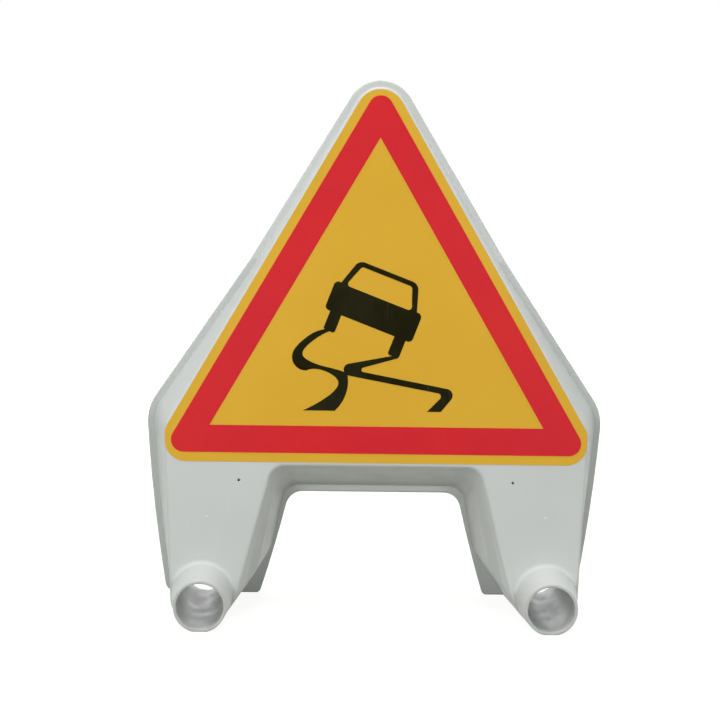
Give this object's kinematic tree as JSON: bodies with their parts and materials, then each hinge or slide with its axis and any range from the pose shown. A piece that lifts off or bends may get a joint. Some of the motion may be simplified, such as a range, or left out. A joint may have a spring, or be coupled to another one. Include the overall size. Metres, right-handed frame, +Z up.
{
  "type": "warning sign",
  "caption": "Free-standing triangular roadworks warning sign: an open-backed plastic shell on ducted feet, faced with a red-bordered yellow sheet and a slippery-road symbol.",
  "frame": {"origin": "on the ground, midway between the feet and midway from the mouths of the foot tubes to the rear rim", "axes": "+Z up, the face looks towards -Y and leans back, +X to the right of someone facing the sign"},
  "size_m": [0.7082, 0.224, 0.8125],
  "materials": {
    "body_plastic": "semi-gloss pale grey moulded plastic",
    "yellow_sheeting": "yellow reflective sheeting",
    "red_film": "red translucent film over sheeting",
    "black_film": "black cut film"
  },
  "bodies": {
    "root": {"body_shell": "body_plastic", "yellow_sheet": "yellow_sheeting", "red_border": "red_film", "symbol_car": "black_film", "symbol_tyre_left": "black_film", "symbol_tyre_right": "black_film", "symbol_skid_left": "black_film", "symbol_skid_right": "black_film"}
  },
  "joints": []
}
